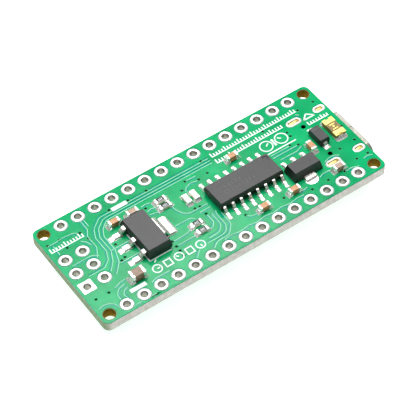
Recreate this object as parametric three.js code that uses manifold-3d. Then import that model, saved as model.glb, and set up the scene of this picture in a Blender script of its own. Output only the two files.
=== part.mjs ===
// A microcontroller development board: a small two-sided circuit board with a USB Type-C socket.
// Millimetres, +Z up. The side with the serial bridge chip and the regulators faces up; the socket,
// the main chip and the reset switch hang below. +X runs towards the socket.
// The origin is at the middle of the footprint, level with the socket's lowest face.

import * as THREE from 'three';
import { mergeVertices } from 'three/addons/utils/BufferGeometryUtils.js';
import Module from 'manifold-3d';

const wasm = await Module();
wasm.setup();

// ---------------------------------------------------------------- driving dimensions

const PITCH = 2.54;
const BOARD = { length: 17 * PITCH, width: 7 * PITCH, thickness: 1.5, corner: 0.9 };
const PIN_ROW = { count: 15, y: 3 * PITCH, hole: 0.5 };
const PROGRAM_PINS = { x: [-20.27, -17.73], rows: 3, hole: 0.5 };
const CORNER_HOLE = { x: 20.32, y: 7.62, radius: 0.825 };

const SOCKET = {
  front: 23.0, length: 7.25, width: 8.94, height: 3.2, wall: 0.3, rearWall: 0.25,
  legY: 4.32, legReach: 1.2, seam: 0.06, seamY: -0.27,
  rearLeg: { x: 16.3, width: 1.1, slot: 1.7 },
  frontLeg: { x: 20.45, width: 0.75, slot: 1.2 },
  slotWidth: 0.6,
  peg: { x: 16.83, y: 2.89, radius: 0.25, hole: 0.33, reach: 0.9 },
  window: { depth: 1.5, width: 7.0, height: 0.9 },
};
const TONGUE = {
  width: 6.7, thickness: 0.7, rootThickness: 1.3, root: 19.1, tip: 22.4, block: 18.2,
  tailGap: { end: 17, width: 5.36 },
};
const MID_PLATE = { x: 19.7, length: 5.1, thickness: 0.15 };
const CONTACT = {
  pitch: 0.5, width: 0.25, thickness: 0.1, end: 22.1, bar: 17.4, barWidth: 0.4, foot: 0.55,
  blades: [-5.5, -2.5, -1.5, -0.5, 0.5, 1.5, 2.5, 5.5],
  groundTail: { y: -2.4, width: 0.45 },
  tails: { y: [-1.25, -0.25, 0.75, 1.75], width: 0.3 },
  boardSideTailX: 16.75,
  farSideTailX: 16.4,
};

// A lead is measured from its package's centre: where it is held, leaves, comes down and ends.
const WIDE_CHIP = {
  x: 4.65, y: -0.73, length: 9.9, width: 3.9, height: 1.35, standoff: 0.12, draft: 0.16, leads: 8,
  pitch: 1.27, paddle: { length: 9.1, width: 2.6 },
  lead: { inner: 1.2, knee: 2.2, heel: 2.45, toe: 3.0, exit: 0.78, thickness: 0.2, width: 0.42 },
};
const REGULATOR = {
  x: -10.12, y: -0.4, length: 3.6, width: 6.6, height: 1.55, standoff: 0.06, draft: 0.24,
  parting: 0.35, pitch: 2.3, tabWidth: 3.0, paddle: { length: 2.7, width: 5.4 },
  lead: { inner: 1.3, knee: 2.1, heel: 2.45, toe: 3.45, exit: 0.9, thickness: 0.3, width: 0.72 },
};
const SMALL_REGULATOR = {
  x: 12.3, y: -3.15, length: 4.5, width: 2.5, height: 1.46, standoff: 0.04, draft: 0.3, parting: 0.12,
  frame: 0.38, pitch: 1.5, leadWidth: 0.42, middleLeadWidth: 0.5, leadReach: 2.2,
  bar: { length: 3.9, width: 0.5, y: 0.7 }, tab: { width: 1.65, length: 2.8, y: -0.5 },
};
const DIODE = {
  x: 17.2, y: 0, length: 2.7, width: 1.6, height: 1.11, standoff: 0.04, draft: 0.1,
  lead: { inner: 0.5, knee: 1.48, heel: 1.5, toe: 1.85, exit: 0.5, thickness: 0.14, width: 0.58 },
};
const FUSE = { x: 19.68, y: 0.07, length: 3.2, width: 1.6, height: 0.8, notch: 0.25 };
const MAIN_CHIP = {
  x: 8.2, y: 0, size: 7.0, height: 1.0, standoff: 0.1, draft: 0.12, pitch: 0.8, leads: 8, paddle: 6.0,
  lead: { inner: 2.8, knee: 3.75, heel: 3.95, toe: 4.5, exit: 0.6, thickness: 0.14, width: 0.36 },
};
const CRYSTAL = { x: 0.6, y: 0, length: 3.2, width: 2.5, base: 0.5, lid: 0.25, rim: 0.15, corner: 0.3 };
const SWITCH = {
  x: -4.6, y: 0, length: 6.0, width: 3.3, base: 1.75, standoff: 0.04, floor: 0.5, cover: 0.15,
  skirt: { thickness: 0.1, length: 4.0, end: 0.7 }, wellGap: 0.15,
  button: { length: 3.0, width: 1.5, top: 2.5 }, clearance: 0.08,
  flange: { reach: 0.25, thickness: 0.34, below: 0.38 }, stem: 0.45, stemGap: 0.02,
  dome: { radius: 1.1, rise: 0.4, thickness: 0.06 },
  terminal: { inner: 0.9, knee: 2.0, heel: 2.35, toe: 3.8, thickness: 0.16, width: 1.4 },
};

// Chip parts by body size: length, width, height and the length of the plated ends.
const CHIP = {
  small: { length: 1.6, width: 0.8, height: 0.85, band: 0.32 },
  medium: { length: 2.0, width: 1.25, height: 1.2, band: 0.4 },
  flat: { length: 1.6, width: 0.8, height: 0.45, band: 0.3 },
  back: { length: 1.5, width: 0.8, height: 0.5, band: 0.28 },
};
const ARRAY = { length: 3.2, width: 1.6, height: 0.55, notch: 0.14, pitch: 0.8 };
const LAMP = { length: 1.6, width: 0.8, base: 0.32, lens: 1.05, height: 0.62, draft: 0.08 };

const ALONG_X = 0;
const ALONG_Y = Math.PI / 2;

// Where the chip parts sit, measured from the board's centre: [x, y, size, direction].
const UPPER_CAPACITORS = [
  [-12.25, 3.75, 'small', ALONG_X],
  [-9.5, 3.75, 'small', ALONG_X],
  [6.05, 3.9, 'small', ALONG_X],
  [4.5, -5.4, 'small', ALONG_X],
  [9.2, -5.4, 'small', ALONG_X],
  [15.37, -0.77, 'small', ALONG_Y],
  [16.1, -5.7, 'small', ALONG_X],
  [-14.45, -4.95, 'medium', ALONG_X],
];
const UPPER_RESISTORS = [
  [-5.43, 3.48, 'flat', ALONG_X],
  [-5.45, 2.33, 'flat', ALONG_X],
  [-3.88, -2.42, 'flat', ALONG_X],
  [-3.88, -3.74, 'flat', ALONG_X],
  [-2.63, 1.57, 'back', ALONG_Y],
  [-1.44, 1.57, 'back', ALONG_Y],
];
// Below the board y is measured towards the near edge, because that side is turned over.
const LOWER_CAPACITORS = [
  [0.6, 3.2, 'small', ALONG_X],
  [0.6, -3.2, 'small', ALONG_X],
  [2.6, 5.3, 'small', ALONG_X],
  [2.6, -5.3, 'small', ALONG_X],
  [12.0, 5.4, 'small', ALONG_X],
  [12.0, -5.4, 'small', ALONG_X],
];
const LOWER_RESISTORS = [
  [14.1, 3.9, 'flat', ALONG_Y],
  [14.1, -3.9, 'flat', ALONG_Y],
];
const ARRAYS = [[-12.3, 2.2], [-12.3, -2.2]];
const LAMPS = [[-9.2, -3.9], [-9.2, -1.3], [-9.2, 1.3], [-9.2, 3.9]];

// ---------------------------------------------------------------- materials

const finish = (color, roughness, metalness = 0) =>
  new THREE.MeshStandardMaterial({ color, roughness, metalness });

const MATERIAL = {
  board: finish(0x3fae7a, 0.45),
  mould: finish(0x26272b, 0.55),
  lead: finish(0xc9cac8, 0.3, 1),
  steel: finish(0xbfc2c4, 0.28, 1),
  gold: finish(0xd8b45a, 0.3, 1),
  fuse: finish(0xb99a4e, 0.4),
  capacitor: finish(0x9c6b45, 0.5),
  resistor: finish(0x1c1c1f, 0.4),
  ceramic: finish(0xe6dfcd, 0.6),
  socketPlastic: finish(0x17181a, 0.5),
  button: finish(0xe9e9e4, 0.45),
  lamp: finish(0xf2efdc, 0.35),
};

// ---------------------------------------------------------------- solids

// A closed geometry as a solid that can be joined and cut.
function solidOf(geometry) {
  const bare = geometry.clone();
  bare.deleteAttribute('normal');
  bare.deleteAttribute('uv');
  const merged = mergeVertices(bare, 1e-4);
  return new wasm.Manifold(new wasm.Mesh({
    numProp: 3,
    vertProperties: merged.attributes.position.array,
    triVerts: Uint32Array.from(merged.index.array),
  }));
}

function geometryOf(solid) {
  const mesh = solid.getMesh();
  const geometry = new THREE.BufferGeometry();
  geometry.setAttribute('position', new THREE.BufferAttribute(mesh.vertProperties, 3));
  geometry.setIndex(new THREE.BufferAttribute(mesh.triVerts, 1));
  geometry.computeVertexNormals();
  return geometry;
}

function join(...pieces) {
  return geometryOf(pieces.map(solidOf).reduce((whole, piece) => whole.add(piece)));
}

function cut(piece, ...tools) {
  return geometryOf(tools.map(solidOf).reduce((whole, tool) => whole.subtract(tool), solidOf(piece)));
}

// A box centred on x and y, standing on z.
function block(length, width, height, x = 0, y = 0, z = 0) {
  return new THREE.BoxGeometry(length, width, height).translate(x, y, z + height / 2);
}

// A shape raised from z to z + height.
function plate(shape, height, z = 0) {
  return new THREE.ExtrudeGeometry(shape, { depth: height, bevelEnabled: false }).translate(0, 0, z);
}

// An outline drawn across Y and Z and run along X from x.
function alongX(shape, length, x) {
  const turn = new THREE.Matrix4().makeBasis(
    new THREE.Vector3(0, 1, 0), new THREE.Vector3(0, 0, 1), new THREE.Vector3(1, 0, 0));
  return plate(shape, length).applyMatrix4(turn).translate(x, 0, 0);
}

function arc(x, y, radius, from, to, steps) {
  return Array.from({ length: steps + 1 }, (_, i) => {
    const angle = from + (to - from) * i / steps;
    return new THREE.Vector2(x + radius * Math.cos(angle), y + radius * Math.sin(angle));
  });
}

function circle(x, y, radius, steps) {
  return new THREE.Path(arc(x, y, radius, 0, 2 * Math.PI, steps).slice(0, steps));
}

// A slot or stadium outline with two half-round ends, longer along x.
function stadiumPoints(length, width, x = 0, y = 0, steps = 6) {
  const radius = width / 2;
  const reach = (length - width) / 2;
  return [
    ...arc(x + reach, y, radius, -Math.PI / 2, Math.PI / 2, steps),
    ...arc(x - reach, y, radius, Math.PI / 2, 3 * Math.PI / 2, steps),
  ];
}

function stadium(length, width, steps) {
  return new THREE.Shape(stadiumPoints(length, width, 0, 0, steps));
}

function roundedRectangle(length, width, radius, steps) {
  const x = length / 2 - radius;
  const y = width / 2 - radius;
  const quarter = Math.PI / 2;
  return new THREE.Shape([
    ...arc(x, -y, radius, -quarter, 0, steps),
    ...arc(x, y, radius, 0, quarter, steps),
    ...arc(-x, y, radius, quarter, 2 * quarter, steps),
    ...arc(-x, -y, radius, 2 * quarter, 3 * quarter, steps),
  ]);
}

// Sheet metal seen edge-on: a line of points given a thickness, with mitred bends.
function ribbon(points, thickness) {
  const line = points.map(([x, y]) => new THREE.Vector2(x, y));
  const normals = line.slice(1).map((point, i) => {
    const along = point.clone().sub(line[i]).normalize();
    return new THREE.Vector2(-along.y, along.x);
  });
  const offset = (side) => line.map((point, i) => {
    const before = normals[Math.max(i - 1, 0)];
    const after = normals[Math.min(i, normals.length - 1)];
    const mitre = before.clone().add(after).normalize();
    return point.clone().addScaledVector(mitre, side * thickness / 2 / mitre.dot(before));
  });
  return new THREE.Shape([...offset(-1), ...offset(1).reverse()]);
}

// A ribbon drawn across X and Z and made as wide as the strip, centred on y.
function strip(points, thickness, width, y = 0) {
  return plate(ribbon(points, thickness), width).rotateX(Math.PI / 2).translate(0, y + width / 2, 0);
}

// A moulded chip body: widest at its parting line, a share of its height, and drafted from there.
function moulded(length, width, height, draft, z, parting = 0.5) {
  const geometry = new THREE.BoxGeometry(length, width, height, 1, 1, 2);
  const position = geometry.attributes.position;
  const lowDraft = draft * parting / (1 - parting);
  for (let i = 0; i < position.count; i++) {
    const level = Math.sign(Math.round(position.getZ(i) / height * 4));
    const drawn = [lowDraft, 0, draft][level + 1];
    position.setX(i, position.getX(i) * (1 - 2 * drawn / length));
    position.setY(i, position.getY(i) * (1 - 2 * drawn / width));
    if (level === 0) position.setZ(i, (parting - 0.5) * height);
  }
  return geometry.translate(0, 0, z + height / 2);
}

// A bent lead that leaves a body at exit height, drops and ends in a flat foot.
function gullLead({ inner, knee, heel, toe, exit, thickness, width }, y = 0) {
  const sole = thickness / 2;
  return strip([[inner, exit], [knee, exit], [heel, sole], [toe, sole]], thickness, width, y);
}

// A ceramic chip with two plated ends that stand slightly proud of its middle.
function chipPart({ length, width, height, band }) {
  const proud = 0.025;
  const end = length / 2;
  const inner = end - band;
  const outline = new THREE.Shape([
    [-end, 0], [-inner, 0], [-inner, proud], [inner, proud], [inner, 0], [end, 0],
    [end, height], [inner, height], [inner, height - proud], [-inner, height - proud],
    [-inner, height], [-end, height],
  ].map(([x, z]) => new THREE.Vector2(x, z)));
  return plate(outline, width).rotateX(Math.PI / 2).translate(0, width / 2, 0);
}

function post(radius, height, x, y, z, steps = 12) {
  return new THREE.CylinderGeometry(radius, radius, height, steps)
    .rotateX(Math.PI / 2).translate(x, y, z + height / 2);
}

// ---------------------------------------------------------------- the object's groups

const part = new THREE.Group();
const board = new THREE.Group();
const upper = new THREE.Group();
const lower = new THREE.Group();

board.position.set((BOARD.length / 2 - SOCKET.front) / 2, 0, SOCKET.height);
upper.position.z = BOARD.thickness;
lower.rotation.x = Math.PI;
part.add(board);
board.add(upper, lower);

function place(group, name, geometry, material, x = 0, y = 0, turn = ALONG_X) {
  const mesh = new THREE.Mesh(geometry, material);
  mesh.name = name;
  mesh.position.set(x, y, 0);
  mesh.rotation.z = turn;
  group.add(mesh);
}

// ---------------------------------------------------------------- circuit board

function circuitBoard() {
  const outline = roundedRectangle(BOARD.length, BOARD.width, BOARD.corner, 4);
  const pinSteps = 12;
  for (const side of [-1, 1]) {
    for (let i = 0; i < PIN_ROW.count; i++) {
      const x = (i - (PIN_ROW.count - 1) / 2) * PITCH;
      outline.holes.push(circle(x, side * PIN_ROW.y, PIN_ROW.hole, pinSteps));
    }
    for (const x of [-CORNER_HOLE.x, CORNER_HOLE.x]) {
      outline.holes.push(circle(x, side * CORNER_HOLE.y, CORNER_HOLE.radius, 16));
    }
    for (const leg of [SOCKET.rearLeg, SOCKET.frontLeg]) {
      outline.holes.push(new THREE.Path(
        stadiumPoints(leg.slot, SOCKET.slotWidth, leg.x, side * SOCKET.legY, 4)));
    }
    outline.holes.push(circle(SOCKET.peg.x, side * SOCKET.peg.y, SOCKET.peg.hole, 10));
  }
  for (const x of PROGRAM_PINS.x) {
    for (let row = 0; row < PROGRAM_PINS.rows; row++) {
      outline.holes.push(circle(x, (row - 1) * PITCH, PROGRAM_PINS.hole, pinSteps));
    }
  }
  place(board, 'circuit_board', plate(outline, BOARD.thickness), MATERIAL.board);
}

// ---------------------------------------------------------------- upper side

// A row of gull-wing leads, evenly spaced across Y and turned towards their side.
function leadRow(lead, count, pitch, turn) {
  return Array.from({ length: count }, (_, i) =>
    gullLead(lead, (i - (count - 1) / 2) * pitch).rotateZ(turn));
}

// The plate inside a body that holds its leads, level with where they leave.
function leadPaddle(length, width, { exit, thickness }) {
  return block(length, width, thickness, 0, 0, exit - thickness / 2);
}

// A body with a row of leads along each long side.
function serialBridge() {
  const { x, y, length, width, height, standoff, draft, lead, leads, pitch, paddle } = WIDE_CHIP;
  const rows = [-1, 1].flatMap((side) => leadRow(lead, leads, pitch, side * Math.PI / 2));
  const frame = join(leadPaddle(paddle.length, paddle.width, lead), ...rows);
  const body = cut(moulded(length, width, height, draft, standoff), frame);
  place(upper, 'serial_bridge_body', body, MATERIAL.mould, x, y);
  place(upper, 'serial_bridge_leadframe', frame, MATERIAL.lead, x, y);
}

// Three leads on one side and a wide tab on the other.
function mainRegulator() {
  const { x, y, length, width, height, standoff, draft, parting } = REGULATOR;
  const { lead, pitch, paddle, tabWidth } = REGULATOR;
  const tab = gullLead({ ...lead, width: tabWidth });
  const leads = leadRow(lead, 3, pitch, Math.PI);
  const frame = join(leadPaddle(paddle.length, paddle.width, lead), tab, ...leads);
  const body = cut(moulded(length, width, height, draft, standoff, parting), frame);
  place(upper, 'main_regulator_body', body, MATERIAL.mould, x, y);
  place(upper, 'main_regulator_leadframe', frame, MATERIAL.lead, x, y);
}

// A flat leadframe under the body: three leads towards +Y and a tab towards -Y.
function smallRegulator() {
  const { x, y, length, width, height, standoff, draft, parting } = SMALL_REGULATOR;
  const { frame: thickness, pitch, leadWidth, middleLeadWidth, leadReach, bar, tab } = SMALL_REGULATOR;
  const leads = [-1, 0, 1].map((i) => block(
    i ? leadWidth : middleLeadWidth, leadReach - bar.y, thickness, i * pitch, (leadReach + bar.y) / 2));
  const frame = join(
    block(bar.length, bar.width, thickness, 0, bar.y), block(tab.width, tab.length, thickness, 0, tab.y),
    ...leads);
  const body = cut(moulded(length, width, height, draft, standoff, parting), frame);
  place(upper, 'small_regulator_body', body, MATERIAL.mould, x, y);
  place(upper, 'small_regulator_leadframe', frame, MATERIAL.lead, x, y);
}

function diode() {
  const { x, y, length, width, height, standoff, draft, lead } = DIODE;
  const leads = { cathode: gullLead(lead), anode: gullLead(lead).rotateZ(Math.PI) };
  const body = cut(moulded(length, width, height, draft, standoff), leads.cathode, leads.anode);
  place(upper, 'diode_body', body, MATERIAL.mould, x, y, ALONG_Y);
  for (const [end, piece] of Object.entries(leads)) {
    place(upper, `diode_${end}_lead`, piece, MATERIAL.lead, x, y, ALONG_Y);
  }
}

// A laminated chip with a half-round plated notch in each end.
function fuse() {
  const { x, y, length, width, height, notch } = FUSE;
  const notches = [-1, 1].map((side) => post(notch, 2 * height, side * length / 2, 0, -height / 2));
  const body = cut(block(length, width, height), ...notches);
  place(upper, 'resettable_fuse', body, MATERIAL.fuse, x, y, ALONG_Y);
}

function chips(group, name, positions, material) {
  positions.forEach(([x, y, size, turn], i) => {
    place(group, `${name}_${i + 1}`, chipPart(CHIP[size]), material, x, y, turn);
  });
}

// ---------------------------------------------------------------- lower side

// Folded steel round the socket's mouth, with a seam and a tail window on the board side and four
// legs that go into the board's slots.
function socketShell() {
  const { front, length, width, height, wall, rearWall, window } = SOCKET;
  const rear = front - length;
  const middle = height / 2;
  const outer = alongX(stadium(width, height, 10), length, rear).translate(0, 0, middle);
  const inner = alongX(stadium(width - 2 * wall, height - 2 * wall, 10), length, rear + rearWall)
    .translate(0, 0, middle);
  const tailWindow = block(2 * window.depth, window.width, 2 * window.height, rear, 0, -window.height);
  const seam = block(length + 1, SOCKET.seam, 1, front - length / 2, SOCKET.seamY, -0.5);
  const legs = [SOCKET.rearLeg, SOCKET.frontLeg].flatMap((leg) => [-1, 1].map((side) =>
    block(leg.width, wall, SOCKET.legReach + middle, leg.x, side * SOCKET.legY, -SOCKET.legReach)));
  return join(cut(outer, inner, tailWindow, seam), ...legs);
}

// Contacts on one face of the tongue, held by a hidden bar, with tails down to the board. The tails
// of one face lie between those of the other, which side being -1 or 1.
function contactRow(level, tailX, side) {
  const { pitch, width, thickness, end, bar, barWidth, blades, groundTail, tails } = CONTACT;
  const foot = SOCKET.front - SOCKET.length - CONTACT.foot;
  const height = level + thickness / 2;
  const carrier = block(barWidth, 12 * pitch, thickness, bar, 0, level);
  const springs = blades.map((n) =>
    block(end - bar, width, thickness, (end + bar) / 2, n * pitch, level));
  const route = [[bar, height], [tailX, height], [tailX, thickness / 2], [foot, thickness / 2]];
  const legs = [
    strip(route, thickness, groundTail.width, side * groundTail.y),
    ...tails.y.map((y) => strip(route, thickness, tails.width, side * y)),
  ];
  return join(carrier, ...springs, ...legs);
}

// The tongue stands on a block that fills the shell's rear, and two pegs place it on the board.
function socketInsulator(middle) {
  const { width, height, wall, peg, window } = SOCKET;
  const { tailGap } = TONGUE;
  const rear = SOCKET.front - SOCKET.length + SOCKET.rearWall;
  const fill = stadium(width - 2 * wall, height - 2 * wall, 10);
  const rearBlock = alongX(fill, TONGUE.block - rear, rear).translate(0, 0, middle);
  const step = (end, thickness) => block(
    end - rear - 1, TONGUE.width, thickness, (end + rear + 1) / 2, 0, middle - thickness / 2);
  const gap = block(
    2 * (tailGap.end - rear), tailGap.width, 2 * window.height, rear, 0, -window.height);
  const pegs = [-1, 1].map((side) =>
    post(peg.radius, peg.reach + 2 * wall, peg.x, side * peg.y, -peg.reach, 10));
  const body = cut(
    join(rearBlock, step(TONGUE.root, TONGUE.rootThickness), step(TONGUE.tip, TONGUE.thickness)), gap);
  return join(body, ...pegs);
}

function socket() {
  const middle = SOCKET.height / 2;
  const half = TONGUE.thickness / 2;
  const boardSide = contactRow(middle - half, CONTACT.boardSideTailX, 1);
  const farSide = contactRow(middle + half - CONTACT.thickness, CONTACT.farSideTailX, -1);
  const midPlate = block(MID_PLATE.length, TONGUE.width, MID_PLATE.thickness, MID_PLATE.x, 0,
    middle - MID_PLATE.thickness / 2);
  const insulator = cut(socketInsulator(middle), boardSide, farSide, midPlate);
  place(lower, 'usb_shell', socketShell(), MATERIAL.steel);
  place(lower, 'usb_insulator', insulator, MATERIAL.socketPlastic);
  place(lower, 'usb_mid_plate', midPlate, MATERIAL.steel);
  place(lower, 'usb_contacts_board_side', boardSide, MATERIAL.gold);
  place(lower, 'usb_contacts_far_side', farSide, MATERIAL.gold);
}

// The main chip has eight leads on each of four sides and is turned by 45 degrees.
function mainChip() {
  const { x, y, size, height, standoff, draft, lead, leads, pitch, paddle } = MAIN_CHIP;
  const rows = [0, 1, 2, 3].flatMap((side) => leadRow(lead, leads, pitch, side * Math.PI / 2));
  const frame = join(leadPaddle(paddle, paddle, lead), ...rows);
  const body = cut(moulded(size, size, height, draft, standoff), frame);
  place(lower, 'main_chip_body', body, MATERIAL.mould, x, y, Math.PI / 4);
  place(lower, 'main_chip_leadframe', frame, MATERIAL.lead, x, y, Math.PI / 4);
}

function crystal() {
  const { x, y, length, width, base, lid, rim, corner } = CRYSTAL;
  place(lower, 'crystal_base', block(length, width, base), MATERIAL.ceramic, x, y, ALONG_Y);
  const cap = plate(roundedRectangle(length - 2 * rim, width - 2 * rim, corner, 3), lid, base);
  place(lower, 'crystal_lid', cap, MATERIAL.steel, x, y, ALONG_Y);
}

// A dome of spring steel, highest at its centre, closed underneath by its own thickness.
function snapDome({ radius, rise, thickness }, floor) {
  const sphere = (radius * radius + rise * rise) / (2 * rise);
  const height = (r) => Math.sqrt(sphere * sphere - r * r) - (sphere - rise);
  const radii = [0, 0.3, 0.6, 0.85, 1].map((share) => share * radius);
  const upperSide = radii.map((r) => new THREE.Vector2(r, height(r) + thickness));
  const lowerSide = radii.map((r) => new THREE.Vector2(r, height(r)));
  const profile = [...lowerSide, ...upperSide.reverse()];
  return new THREE.LatheGeometry(profile, 12).rotateX(Math.PI / 2).translate(0, 0, floor);
}

// The reset switch. Its button slides towards the board and snaps the dome.
function resetSwitch() {
  const { x, y, length, width, base, standoff, floor, cover, skirt, wellGap } = SWITCH;
  const { button, clearance, flange, stem, stemGap, dome, terminal } = SWITCH;
  const wider = (reach) => stadium(button.length + 2 * reach, button.width + 2 * reach, 6);
  const sole = terminal.thickness / 2;
  const tab = strip(
    [[terminal.inner, floor - sole], [terminal.knee, floor - sole], [terminal.heel, sole],
      [terminal.toe, sole]], terminal.thickness, terminal.width);
  const terminals = [tab, tab.clone().rotateZ(Math.PI)];
  const box = block(length, width, base - standoff, 0, 0, standoff);
  const housing = cut(box, plate(wider(flange.reach + wellGap), base, floor), ...terminals);

  const coverTop = block(length, width + 2 * skirt.thickness, cover, 0, 0, base);
  const skirts = [-1, 1].map((side) => block(
    skirt.length, skirt.thickness, base - skirt.end, 0, side * (width + skirt.thickness) / 2, skirt.end));
  const lid = cut(join(coverTop, ...skirts), plate(wider(clearance), 2 * cover, base - cover / 2));

  const domeTop = floor + dome.rise + dome.thickness;
  const bottom = base - flange.below;
  const plunger = join(
    post(stem, bottom - domeTop, 0, 0, domeTop + stemGap),
    plate(wider(flange.reach), flange.thickness, bottom),
    plate(wider(0), button.top - bottom - flange.thickness / 2, bottom + flange.thickness / 2));

  place(lower, 'reset_switch_base', housing, MATERIAL.socketPlastic, x, y, ALONG_Y);
  place(lower, 'reset_switch_cover', lid, MATERIAL.steel, x, y, ALONG_Y);
  place(lower, 'reset_switch_dome', snapDome(dome, floor), MATERIAL.steel, x, y, ALONG_Y);
  place(lower, 'reset_button', plunger, MATERIAL.button, x, y, ALONG_Y);
  terminals.forEach((piece, i) => {
    place(lower, `reset_switch_terminal_${i + 1}`, piece, MATERIAL.lead, x, y, ALONG_Y);
  });
}

// A small lamp: a base with plated ends and a raised lens.
function lamps() {
  const { length, width, base, lens, height, draft } = LAMP;
  const lensBlock = moulded(lens, width, 2 * (height - base), draft, 2 * base - height);
  const body = join(block(length, width, base), lensBlock);
  const names = ['power', 'transmit', 'receive', 'user'];
  LAMPS.forEach(([x, y], i) => place(lower, `${names[i]}_lamp`, body, MATERIAL.lamp, x, y));
}

// Four resistors in one chip, with notches between its terminals.
function resistorArrays() {
  const { length, width, height, notch, pitch } = ARRAY;
  const notches = [-1, 1].flatMap((side) => [-1, 0, 1].map((i) =>
    post(notch, 2 * height, i * pitch, side * width / 2, -height / 2, 8)));
  const body = cut(block(length, width, height), ...notches);
  ARRAYS.forEach(([x, y], i) => {
    place(lower, `resistor_array_${i + 1}`, body, MATERIAL.resistor, x, y, ALONG_Y);
  });
}

circuitBoard();
serialBridge();
mainRegulator();
smallRegulator();
diode();
fuse();
chips(upper, 'capacitor', UPPER_CAPACITORS, MATERIAL.capacitor);
chips(upper, 'resistor', UPPER_RESISTORS, MATERIAL.resistor);
socket();
mainChip();
crystal();
resetSwitch();
lamps();
resistorArrays();
chips(lower, 'lower_capacitor', LOWER_CAPACITORS, MATERIAL.capacitor);
chips(lower, 'lower_resistor', LOWER_RESISTORS, MATERIAL.resistor);

export default part;
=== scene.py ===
"""The looks of a narrow microcontroller board, lying with its USB socket underneath.

Shapes are drawn in millimetres on one side of the board: x runs towards the socket from the board's
centre, and z is the height above that side's face. Placing a piece turns them into metres.
"""
import math

import bmesh
import bpy
from mathutils import Matrix, Vector, noise
from mathutils.geometry import tessellate_polygon


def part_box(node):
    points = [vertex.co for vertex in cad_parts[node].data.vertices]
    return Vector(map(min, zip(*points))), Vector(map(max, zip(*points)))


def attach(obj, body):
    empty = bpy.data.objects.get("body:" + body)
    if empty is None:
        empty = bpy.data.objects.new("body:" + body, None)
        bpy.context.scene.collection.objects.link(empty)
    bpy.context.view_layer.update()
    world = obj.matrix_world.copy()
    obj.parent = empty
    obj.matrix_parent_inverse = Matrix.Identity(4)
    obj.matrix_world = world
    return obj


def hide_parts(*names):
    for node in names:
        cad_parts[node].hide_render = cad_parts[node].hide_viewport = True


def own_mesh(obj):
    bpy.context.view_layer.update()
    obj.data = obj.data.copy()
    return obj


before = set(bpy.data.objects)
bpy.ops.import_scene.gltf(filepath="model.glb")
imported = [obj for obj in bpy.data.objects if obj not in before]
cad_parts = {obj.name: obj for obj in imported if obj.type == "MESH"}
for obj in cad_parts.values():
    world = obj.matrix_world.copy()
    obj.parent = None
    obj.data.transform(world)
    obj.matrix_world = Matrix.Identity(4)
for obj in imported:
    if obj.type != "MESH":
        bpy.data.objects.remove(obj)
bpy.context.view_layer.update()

MM = 0.001
BOARD_LOW, BOARD_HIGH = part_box("circuit_board")
CENTRE_X = (BOARD_LOW.x + BOARD_HIGH.x) / 2
LENGTH = (BOARD_HIGH.x - BOARD_LOW.x) / MM
WIDTH = (BOARD_HIGH.y - BOARD_LOW.y) / MM
THICKNESS = (BOARD_HIGH.z - BOARD_LOW.z) / MM
UPPER = Matrix.Translation((CENTRE_X, 0, BOARD_HIGH.z)) @ Matrix.Scale(MM, 4)
LOWER = (Matrix.Translation((CENTRE_X, 0, BOARD_LOW.z)) @ Matrix.Rotation(math.pi, 4, "X")
         @ Matrix.Scale(MM, 4))

PITCH = 2.54
PIN_COUNT = 15
PIN_Y = 3 * PITCH
PROGRAM_X = (-20.27, -17.73)
CORNER_X, CORNER_Y, CORNER_RADIUS = 20.32, 7.62, 0.825
# The socket's slots on each side: x, and the length of the slot, its pad and the shell's leg.
SOCKET_LEGS = ((16.3, 1.7, 2.1, 1.1), (20.45, 1.2, 1.75, 0.75))
LEG_Y, SLOT_WIDTH, SLOT_PAD_WIDTH = 4.32, 0.6, 1.15
PEG_X, PEG_Y, PEG_RADIUS = 16.83, 2.89, 0.33
TAIL_Y = (-2.4, -1.75, -1.25, -0.75, -0.25, 0.25, 0.75, 1.25, 1.75, 2.4)
VIA_RADIUS = 0.18
RIGHT_ANGLE = math.pi / 2
QUARTERS = ((-1, -1), (-1, 1), (1, -1), (1, 1))

# The chip parts that differ: capacitors are brown, and resistors lie with their glaze up.
OWN_FINISH = {
    "capacitor_2": "pale", "capacitor_7": "pale", "capacitor_8": "taupe",
    "lower_capacitor_1": "pale", "lower_capacitor_2": "pale",
    "resistor_5": "white_ceramic", "resistor_6": "white_ceramic",
}

# Heights of the board's thin layers, above the face that the chips stand on.
LAMINATE, MASK, COPPER, INK = -0.07, -0.035, 0.005, 0.018
MARK = (COPPER - 0.01, INK)


# ---------------------------------------------------------------- camera, floor and light

def linked(name, data):
    made = bpy.data.objects.new(name, data)
    bpy.context.scene.collection.objects.link(made)
    return made


def camera():
    azimuth, elevation, roll = (math.radians(a) for a in (-32.735, 50.222, -2.847))
    distance, aside, above = 226.86, 0.374, 1.175
    back = Vector((math.sin(azimuth) * math.cos(elevation),
                   -math.cos(azimuth) * math.cos(elevation), math.sin(elevation)))
    right = Vector((0, 0, 1)).cross(back).normalized()
    up = back.cross(right)
    tilted_right = right * math.cos(roll) + up * math.sin(roll)
    tilted_up = up * math.cos(roll) - right * math.sin(roll)
    turn = Matrix((tilted_right, tilted_up, back)).transposed()
    data = bpy.data.cameras.new("camera")
    data.sensor_width = 36
    data.lens = 154.4
    data.clip_start = 0.01
    data.clip_end = 5
    view = linked("camera", data)
    target = Vector((CENTRE_X, 0, BOARD_HIGH.z))
    place = target + turn @ Vector((-aside, -above, distance)) * MM
    view.matrix_world = Matrix.Translation(place) @ turn.to_4x4()
    bpy.context.scene.camera = view


def area_light(name, size, power, place):
    data = bpy.data.lights.new(name, "AREA")
    data.shape = "RECTANGLE"
    data.size, data.size_y = size
    data.energy = power
    light = linked(name, data)
    light.location = place
    return light


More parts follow.
